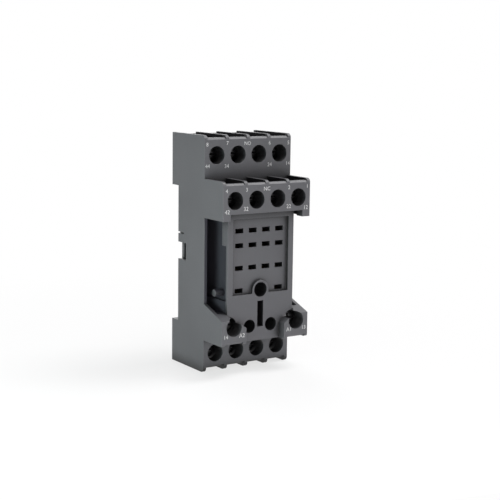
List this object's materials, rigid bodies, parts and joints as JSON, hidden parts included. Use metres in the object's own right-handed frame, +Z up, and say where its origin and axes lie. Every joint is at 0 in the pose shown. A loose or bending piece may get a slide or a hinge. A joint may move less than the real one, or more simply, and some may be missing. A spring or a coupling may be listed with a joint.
{
  "type": "relay socket",
  "caption": "Stepped screw-terminal relay socket for a mounting rail: wire pockets, driver holes, slotted relay seat between coil ears, sprung rail foot.",
  "frame": {"origin": "centre of the bounding box at the foot of the socket", "axes": "+X across the width, +Y to the back, towards the rail, +Z up"},
  "size_m": [0.0286, 0.0278, 0.0664],
  "materials": {
    "grey_plastic": "fine moulded grain, dark grey",
    "back_plastic": "fine moulded grain, dark grey",
    "clip_plastic": "smooth black",
    "spring_steel": "bright spring steel",
    "brass_strip": "stamped, plain",
    "clamp_steel": "zinc plated",
    "screw_steel": "zinc plated",
    "white_print": "terminal numbers printed on the housing"
  },
  "bodies": {
    "socket": {"housing": "grey_plastic", "rear_cover": "back_plastic", "clip_spring": "spring_steel", "contact_44": "brass_strip", "contact_34": "brass_strip", "contact_24": "brass_strip", "contact_14": "brass_strip", "contact_42": "brass_strip", "contact_32": "brass_strip", "contact_22": "brass_strip", "contact_12": "brass_strip", "contact_a2": "brass_strip", "contact_a1": "brass_strip", "contact_41": "brass_strip", "contact_31": "brass_strip", "contact_21": "brass_strip", "contact_11": "brass_strip"},
    "rail_clip": {"rail_clip": "clip_plastic"},
    "clamp_44": {"clamp_44": "clamp_steel"},
    "screw_44": {"screw_44": "screw_steel"},
    "clamp_34": {"clamp_34": "clamp_steel"},
    "screw_34": {"screw_34": "screw_steel"},
    "clamp_24": {"clamp_24": "clamp_steel"},
    "screw_24": {"screw_24": "screw_steel"},
    "clamp_14": {"clamp_14": "clamp_steel"},
    "screw_14": {"screw_14": "screw_steel"},
    "clamp_42": {"clamp_42": "clamp_steel"},
    "screw_42": {"screw_42": "screw_steel"},
    "clamp_32": {"clamp_32": "clamp_steel"},
    "screw_32": {"screw_32": "screw_steel"},
    "clamp_22": {"clamp_22": "clamp_steel"},
    "screw_22": {"screw_22": "screw_steel"},
    "clamp_12": {"clamp_12": "clamp_steel"},
    "screw_12": {"screw_12": "screw_steel"},
    "clamp_a2": {"clamp_a2": "clamp_steel"},
    "screw_a2": {"screw_a2": "screw_steel"},
    "clamp_a1": {"clamp_a1": "clamp_steel"},
    "screw_a1": {"screw_a1": "screw_steel"},
    "clamp_41": {"clamp_41": "clamp_steel"},
    "screw_41": {"screw_41": "screw_steel"},
    "clamp_31": {"clamp_31": "clamp_steel"},
    "screw_31": {"screw_31": "screw_steel"},
    "clamp_21": {"clamp_21": "clamp_steel"},
    "screw_21": {"screw_21": "screw_steel"},
    "clamp_11": {"clamp_11": "clamp_steel"},
    "screw_11": {"screw_11": "screw_steel"}
  },
  "joints": [
    {"name": "rail_clip_slide", "type": "slide", "parent": "socket", "child": "rail_clip", "axis": [0, 0, -1], "range_m": [0, 0.0022], "stiffness_N_per_m": 1000, "springref_m": -0.0005, "deforming": ["clip_spring"]},
    {"name": "clamp_slide_44", "type": "slide", "parent": "socket", "child": "clamp_44", "axis": [0, -1, 0], "range_m": [0, 0.0025]},
    {"name": "screw_turn_44", "type": "hinge", "parent": "clamp_44", "child": "screw_44", "pos_m": [-0.01035, 0.00147, 0.0609], "axis": [0, -1, 0], "range_deg": [0, 1800]},
    {"name": "clamp_slide_34", "type": "slide", "parent": "socket", "child": "clamp_34", "axis": [0, -1, 0], "range_m": [0, 0.0025]},
    {"name": "screw_turn_34", "type": "hinge", "parent": "clamp_34", "child": "screw_34", "pos_m": [-0.00345, 0.00147, 0.0609], "axis": [0, -1, 0], "range_deg": [0, 1800]},
    {"name": "clamp_slide_24", "type": "slide", "parent": "socket", "child": "clamp_24", "axis": [0, -1, 0], "range_m": [0, 0.0025]},
    {"name": "screw_turn_24", "type": "hinge", "parent": "clamp_24", "child": "screw_24", "pos_m": [0.00345, 0.00147, 0.0609], "axis": [0, -1, 0], "range_deg": [0, 1800]},
    {"name": "clamp_slide_14", "type": "slide", "parent": "socket", "child": "clamp_14", "axis": [0, -1, 0], "range_m": [0, 0.0025]},
    {"name": "screw_turn_14", "type": "hinge", "parent": "clamp_14", "child": "screw_14", "pos_m": [0.01035, 0.00147, 0.0609], "axis": [0, -1, 0], "range_deg": [0, 1800]},
    {"name": "clamp_slide_42", "type": "slide", "parent": "socket", "child": "clamp_42", "axis": [0, -1, 0], "range_m": [0, 0.0025]},
    {"name": "screw_turn_42", "type": "hinge", "parent": "clamp_42", "child": "screw_42", "pos_m": [-0.01035, -0.00838, 0.0493], "axis": [0, -1, 0], "range_deg": [0, 1800]},
    {"name": "clamp_slide_32", "type": "slide", "parent": "socket", "child": "clamp_32", "axis": [0, -1, 0], "range_m": [0, 0.0025]},
    {"name": "screw_turn_32", "type": "hinge", "parent": "clamp_32", "child": "screw_32", "pos_m": [-0.00345, -0.00838, 0.0493], "axis": [0, -1, 0], "range_deg": [0, 1800]},
    {"name": "clamp_slide_22", "type": "slide", "parent": "socket", "child": "clamp_22", "axis": [0, -1, 0], "range_m": [0, 0.0025]},
    {"name": "screw_turn_22", "type": "hinge", "parent": "clamp_22", "child": "screw_22", "pos_m": [0.00345, -0.00838, 0.0493], "axis": [0, -1, 0], "range_deg": [0, 1800]},
    {"name": "clamp_slide_12", "type": "slide", "parent": "socket", "child": "clamp_12", "axis": [0, -1, 0], "range_m": [0, 0.0025]},
    {"name": "screw_turn_12", "type": "hinge", "parent": "clamp_12", "child": "screw_12", "pos_m": [0.01035, -0.00838, 0.0493], "axis": [0, -1, 0], "range_deg": [0, 1800]},
    {"name": "clamp_slide_a2", "type": "slide", "parent": "socket", "child": "clamp_a2", "axis": [0, -1, 0], "range_m": [0, 0.0025]},
    {"name": "screw_turn_a2", "type": "hinge", "parent": "clamp_a2", "child": "screw_a2", "pos_m": [-0.01035, -0.00838, 0.0143], "axis": [0, -1, 0], "range_deg": [0, 1800]},
    {"name": "clamp_slide_a1", "type": "slide", "parent": "socket", "child": "clamp_a1", "axis": [0, -1, 0], "range_m": [0, 0.0025]},
    {"name": "screw_turn_a1", "type": "hinge", "parent": "clamp_a1", "child": "screw_a1", "pos_m": [0.01035, -0.00838, 0.0143], "axis": [0, -1, 0], "range_deg": [0, 1800]},
    {"name": "clamp_slide_41", "type": "slide", "parent": "socket", "child": "clamp_41", "axis": [0, -1, 0], "range_m": [0, 0.0025]},
    {"name": "screw_turn_41", "type": "hinge", "parent": "clamp_41", "child": "screw_41", "pos_m": [-0.01035, 0.00147, 0.0053], "axis": [0, -1, 0], "range_deg": [0, 1800]},
    {"name": "clamp_slide_31", "type": "slide", "parent": "socket", "child": "clamp_31", "axis": [0, -1, 0], "range_m": [0, 0.0025]},
    {"name": "screw_turn_31", "type": "hinge", "parent": "clamp_31", "child": "screw_31", "pos_m": [-0.00345, 0.00147, 0.0053], "axis": [0, -1, 0], "range_deg": [0, 1800]},
    {"name": "clamp_slide_21", "type": "slide", "parent": "socket", "child": "clamp_21", "axis": [0, -1, 0], "range_m": [0, 0.0025]},
    {"name": "screw_turn_21", "type": "hinge", "parent": "clamp_21", "child": "screw_21", "pos_m": [0.00345, 0.00147, 0.0053], "axis": [0, -1, 0], "range_deg": [0, 1800]},
    {"name": "clamp_slide_11", "type": "slide", "parent": "socket", "child": "clamp_11", "axis": [0, -1, 0], "range_m": [0, 0.0025]},
    {"name": "screw_turn_11", "type": "hinge", "parent": "clamp_11", "child": "screw_11", "pos_m": [0.01035, 0.00147, 0.0053], "axis": [0, -1, 0], "range_deg": [0, 1800]}
  ],
  "couplings": [
    {"joint": "screw_turn_44", "follows": "clamp_slide_44", "rad_per_m": 12566},
    {"joint": "screw_turn_34", "follows": "clamp_slide_34", "rad_per_m": 12566},
    {"joint": "screw_turn_24", "follows": "clamp_slide_24", "rad_per_m": 12566},
    {"joint": "screw_turn_14", "follows": "clamp_slide_14", "rad_per_m": 12566},
    {"joint": "screw_turn_42", "follows": "clamp_slide_42", "rad_per_m": 12566},
    {"joint": "screw_turn_32", "follows": "clamp_slide_32", "rad_per_m": 12566},
    {"joint": "screw_turn_22", "follows": "clamp_slide_22", "rad_per_m": 12566},
    {"joint": "screw_turn_12", "follows": "clamp_slide_12", "rad_per_m": 12566},
    {"joint": "screw_turn_a2", "follows": "clamp_slide_a2", "rad_per_m": 12566},
    {"joint": "screw_turn_a1", "follows": "clamp_slide_a1", "rad_per_m": 12566},
    {"joint": "screw_turn_41", "follows": "clamp_slide_41", "rad_per_m": 12566},
    {"joint": "screw_turn_31", "follows": "clamp_slide_31", "rad_per_m": 12566},
    {"joint": "screw_turn_21", "follows": "clamp_slide_21", "rad_per_m": 12566},
    {"joint": "screw_turn_11", "follows": "clamp_slide_11", "rad_per_m": 12566}
  ]
}
